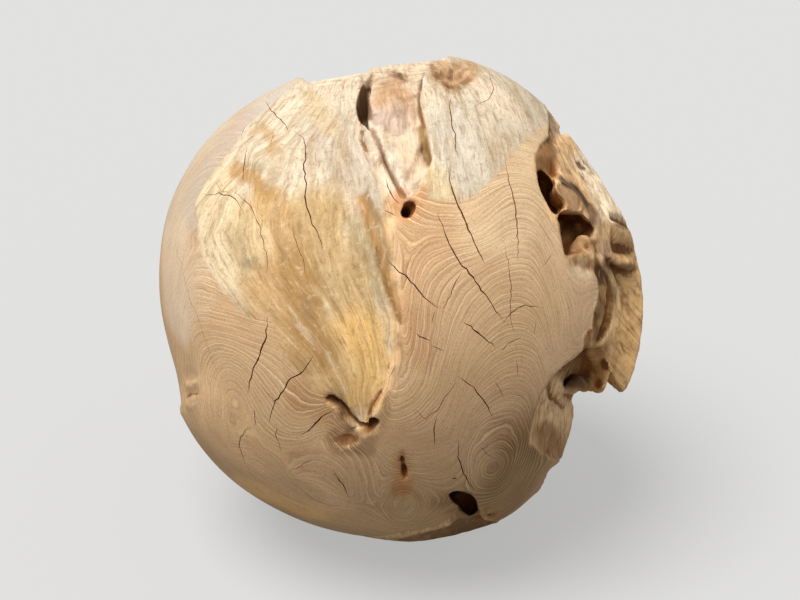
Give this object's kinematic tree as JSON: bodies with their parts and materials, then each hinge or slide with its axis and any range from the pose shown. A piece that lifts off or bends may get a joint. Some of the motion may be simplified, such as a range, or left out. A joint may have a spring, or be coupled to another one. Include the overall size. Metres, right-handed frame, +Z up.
{
  "type": "root wood ball",
  "caption": "Solid ball turned from one piece of root wood, with natural clefts, hollows and an open side.",
  "frame": {"origin": "the point of the floor or cradle under the ball's middle, where its lowest skin touches", "axes": "+Z up, +X to the right of the show side, the show side faces -Y and leans back 25 degrees"},
  "size_m": [0.4862, 0.4976, 0.4934],
  "materials": {
    "root_wood": "sanded bare teak root, matt"
  },
  "bodies": {
    "root": {"root_ball": "root_wood"}
  },
  "joints": []
}
